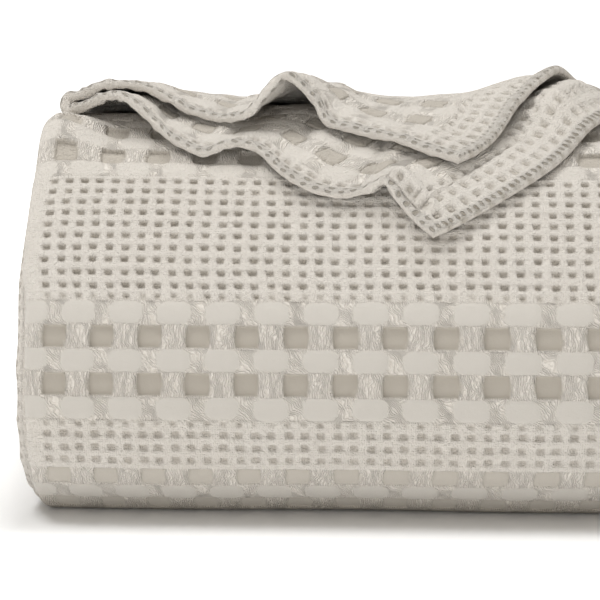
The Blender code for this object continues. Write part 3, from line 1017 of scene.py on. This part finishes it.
def stray(tree, place, clouds, amount):
    """A place moved by up to half an amount in each direction, by cloudy noise."""
    offset = vector_node(tree, "SUBTRACT", clouds, (0.5, 0.5, 0.5))
    offset = vector_node(tree, "MULTIPLY", offset, (amount, amount, amount))
    return vector_node(tree, "ADD", place, offset)


def weighted_sum(tree, *terms):
    """The sum of products, one for each group of factors."""
    total = None
    for factors in terms:
        product = factors[0]
        for factor in factors[1:]:
            product = math_node(tree, "MULTIPLY", product, factor)
        total = product if total is None else math_node(tree, "ADD", total, product)
    return total


def cotton_material():
    """Off-white waffle cotton: yarn ridges, crinkled strands, satin floats and short fibres, with
    painted shade in its pits, holes, patches, strand gaps and foot.
    """
    material = bpy.data.materials.new("Waffle cotton")
    material.use_nodes = True
    tree = material.node_tree
    cloth = node(tree, "ShaderNodeUVMap", uv_map="Cloth").outputs["UV"]
    solid = node(tree, "ShaderNodeTexCoord").outputs["Object"]

    fibres = math_node(tree, "SUBTRACT", noise(tree, solid, 1500.0), 0.5)
    fluff = math_node(tree, "SUBTRACT", noise(tree, solid, 520.0), 0.5)
    patches = noise(tree, solid, 22.0)
    crinkle = noise(tree, solid, 300.0, 1.5, 0.5, "Color")
    waver = noise(tree, solid, 90.0, 1.0, 0.5, "Color")
    crinkled = stray(tree, stray(tree, cloth, crinkle, 3.4 * MM), waver, 5.0 * MM)
    slanting = node(tree, "ShaderNodeMapping", {
        "Vector": cloth, "Rotation": (0.0, 0.0, -STRAND_SLANT)}).outputs["Vector"]
    twisted = stray(tree, stray(tree, slanting, crinkle, 2.4 * MM), waver, 12.0 * MM)
    settled = stray(tree, cloth, crinkle, 1.6 * MM)

    yarn = crossed_strands(tree, settled, YARN_PITCH, YARN_PITCH)
    strands_down = wave_strands(tree, crinkled, "X", STRAND_PITCH)
    strands_across = wave_strands(tree, twisted, "Y", STRAND_PITCH)
    satin_lines = wave_strands(tree, cloth, "Y", FLOAT_PITCH)

    drifted = stray(tree, cloth, waver, 2.0 * MM)
    cells = crossed_strands(tree, drifted, CELL, LAYER_CELL)
    cells = map_range(tree, cells, 0.3, 0.75, interpolation="SMOOTHSTEP")
    holes = crossed_strands(tree, settled, *HEM_PIT_PITCH)
    holes = map_range(tree, holes, 0.36, 0.74, interpolation="SMOOTHSTEP")

    # The masks of the cloth's finishes, and of its painted shade. A piece without one of them has 0
    # there.
    satin, pitted, celled, down, across, painted_shade = (
        node(tree, "ShaderNodeAttribute", attribute_name=name).outputs["Fac"]
        for name in ("satin", "pitted", "celled", "strands_down", "strands_across", "painted_shade"))
    bundles = math_node(tree, "ADD", down, across)
    plain = math_node(tree, "SUBTRACT", 1.0, math_node(tree, "MAXIMUM", satin, bundles))
    strands = weighted_sum(tree, (strands_down, down), (strands_across, across))

    # Height of the finest relief, in metres
    fuzz = weighted_sum(
        tree, (plain, 0.9 * MM), (bundles, 0.3 * MM), (satin, 0.04 * MM), (pitted, 0.8 * MM))
    clumps = weighted_sum(
        tree, (plain, 1.9 * MM), (bundles, 0.9 * MM), (satin, 0.15 * MM), (pitted, 1.6 * MM))
    height = weighted_sum(
        tree, (strands, 0.6 * MM), (bundles, -0.3 * MM), (yarn, plain, 0.25 * MM),
        (satin_lines, satin, 0.02 * MM), (fibres, fuzz), (fluff, clumps),
        (holes, pitted, -1.8 * MM), (cells, celled, -1.5 * MM))
    bump = node(tree, "ShaderNodeBump", {"Height": height, "Strength": 1.0, "Distance": 1.0})

    shade = blend_colours(tree, patches, COTTON_LIGHT, COTTON_WARM)
    # The satin floats' greyer tone: partly their own colour and partly painted shade.
    shade = blend_colours(tree, satin, shade, SATIN_TONE_AND_SHADE)
    # Painted shade: the gaps between strands of the bundles, hem holes, layer cells, pits, patches
    # and the foot are darkened towards the painted shade colour.
    between = math_node(tree, "POWER", math_node(tree, "SUBTRACT", 1.0, strands), 2.0)
    depth = weighted_sum(
        tree, (painted_shade, 0.58), (holes, pitted, 0.75), (between, bundles, 0.3), (cells, celled, 0.4))
    depth = math_node(tree, "MINIMUM", depth, 1.0)
    shade = blend_colours(tree, depth, shade, PAINTED_SHADE_COLOUR)
    feed(tree, tree.nodes["Principled BSDF"].inputs, {
        "Base Color": shade, "Normal": bump.outputs["Normal"], "Roughness": 0.9,
        "Specular IOR Level": 0.2, "Sheen Weight": 0.15, "Sheen Roughness": 0.5})
    return material


# ---- The object ----

def declare(piece):
    """Ride a folded sheet on the frame, in the place of its solid."""
    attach(piece, "root")
    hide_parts("blanket")


def build_blanket():
    """All pieces of the blanket."""
    cotton = cotton_material()
    front = outer_cloth("front_of_outer_cloth", FRONT_START, FRONT_END, cotton)
    top = outer_cloth("top_of_outer_cloth", 0.0, FRONT_START, cotton)
    lower, upper = loose_end(cotton)
    layers = folded_layers(cotton)
    declare(front)
    declare(top)
    for piece in (lower, upper):
        declare(piece)
    declare(layers)


# ---- Floor, light and camera ----

WHITE = (1.0, 1.0, 1.0, 1.0)
FLOOR_SIZE = 24
# How the floor's glow rises away from the footprint.  Columns: from, to, by how much.
FLOOR_GLOW = ((0.0, 0.05, 0.36), (0.05, 1.0, 0.5))

# The surroundings above the horizon, as heights of the direction of view
LIGHT_AROUND = (0.50, 0.475, 0.435, 1.0)
LIGHT_ABOVE = (0.32, 0.31, 0.29, 1.0)
HORIZON = (0.02, 0.08)
OVERHEAD = (0.08, 0.4)

# Columns: name, place, size, power
LIGHTS = (
    ("Key", (-0.7, -0.3, 1.9), 0.6, 16),
    ("Top", (0.2, 0.1, 1.9), 1.0, 16),
    ("Front", (-0.5, -2.2, 0.8), 1.2, 8),
)
LIT_PLACE = (0, 0, 0.1)

CAMERA_ELEVATION = math.radians(10.0)
CAMERA_YAW = math.radians(2.5)
CAMERA_TARGET = (-51 * MM, LOW[1] + 13 * MM, 113 * MM)
CAMERA_DISTANCE = 1.0
VIEW_WIDTH = 0.2928  # at the target
SENSOR_WIDTH = 36


def add_floor():
    """A plain white table that glows a little, more so the farther from the object's footprint."""
    bpy.ops.mesh.primitive_plane_add(size=FLOOR_SIZE, location=(0, 0, 0))
    floor = bpy.context.object
    floor.name = "floor"
    material = bpy.data.materials.new("Floor")
    material.use_nodes = True
    tree = material.node_tree
    place = node(tree, "ShaderNodeTexCoord").outputs["Object"]
    place = vector_node(tree, "ABSOLUTE", place)
    place = vector_node(tree, "SUBTRACT", place, (HALF_WIDTH, DEPTH / 2, 0.0))
    place = vector_node(tree, "MAXIMUM", place, (0.0, 0.0, 0.0))
    outside = vector_node(tree, "LENGTH", place, output="Value")
    near, far = (map_range(tree, outside, *glow) for glow in FLOOR_GLOW)
    feed(tree, tree.nodes["Principled BSDF"].inputs, {
        "Emission Strength": math_node(tree, "ADD", near, far), "Emission Color": WHITE,
        "Base Color": (0.95, 0.95, 0.95, 1.0), "Roughness": 0.8})
    floor.data.materials.append(material)


def add_area_light(name, place, size, power):
    """A square soft light that faces the object."""
    light = bpy.data.lights.new(name, "AREA")
    light.energy = power
    light.size = size
    item = add_object(name, light)
    item.location = place
    item.rotation_euler = (Vector(LIT_PLACE) - Vector(place)).to_track_quat("-Z", "Y").to_euler()


def add_world():
    """Soft warm surroundings, white at the horizon and dimmer above, shown without a tone curve."""
    world = bpy.data.worlds.new("World")
    bpy.context.scene.world = world
    world.use_nodes = True
    tree = world.node_tree
    direction = node(tree, "ShaderNodeTexCoord").outputs["Generated"]
    upward = node(tree, "ShaderNodeSeparateXYZ", {"Vector": direction}).outputs["Z"]
    above_horizon = map_range(tree, upward, *HORIZON)
    overhead = map_range(tree, upward, *OVERHEAD)
    sides = blend_colours(tree, above_horizon, WHITE, LIGHT_AROUND)
    feed(tree, tree.nodes["Background"].inputs, {
        "Color": blend_colours(tree, overhead, sides, LIGHT_ABOVE), "Strength": 1.0})
    bpy.context.scene.view_settings.view_transform = "Standard"


def add_camera():
    """A long lens ten degrees above level, a little to the right of square on."""
    level = math.cos(CAMERA_ELEVATION)
    away = Vector((
        math.sin(CAMERA_YAW) * level, -math.cos(CAMERA_YAW) * level, math.sin(CAMERA_ELEVATION)))
    camera = bpy.data.cameras.new("Camera")
    camera.sensor_width = SENSOR_WIDTH
    camera.lens = SENSOR_WIDTH * CAMERA_DISTANCE / VIEW_WIDTH
    item = add_object("Camera", camera)
    item.location = Vector(CAMERA_TARGET) + away * CAMERA_DISTANCE
    item.rotation_euler = (-away).to_track_quat("-Z", "Y").to_euler()
    bpy.context.scene.camera = item


build_blanket()
add_floor()
add_world()
for light in LIGHTS:
    add_area_light(*light)
add_camera()
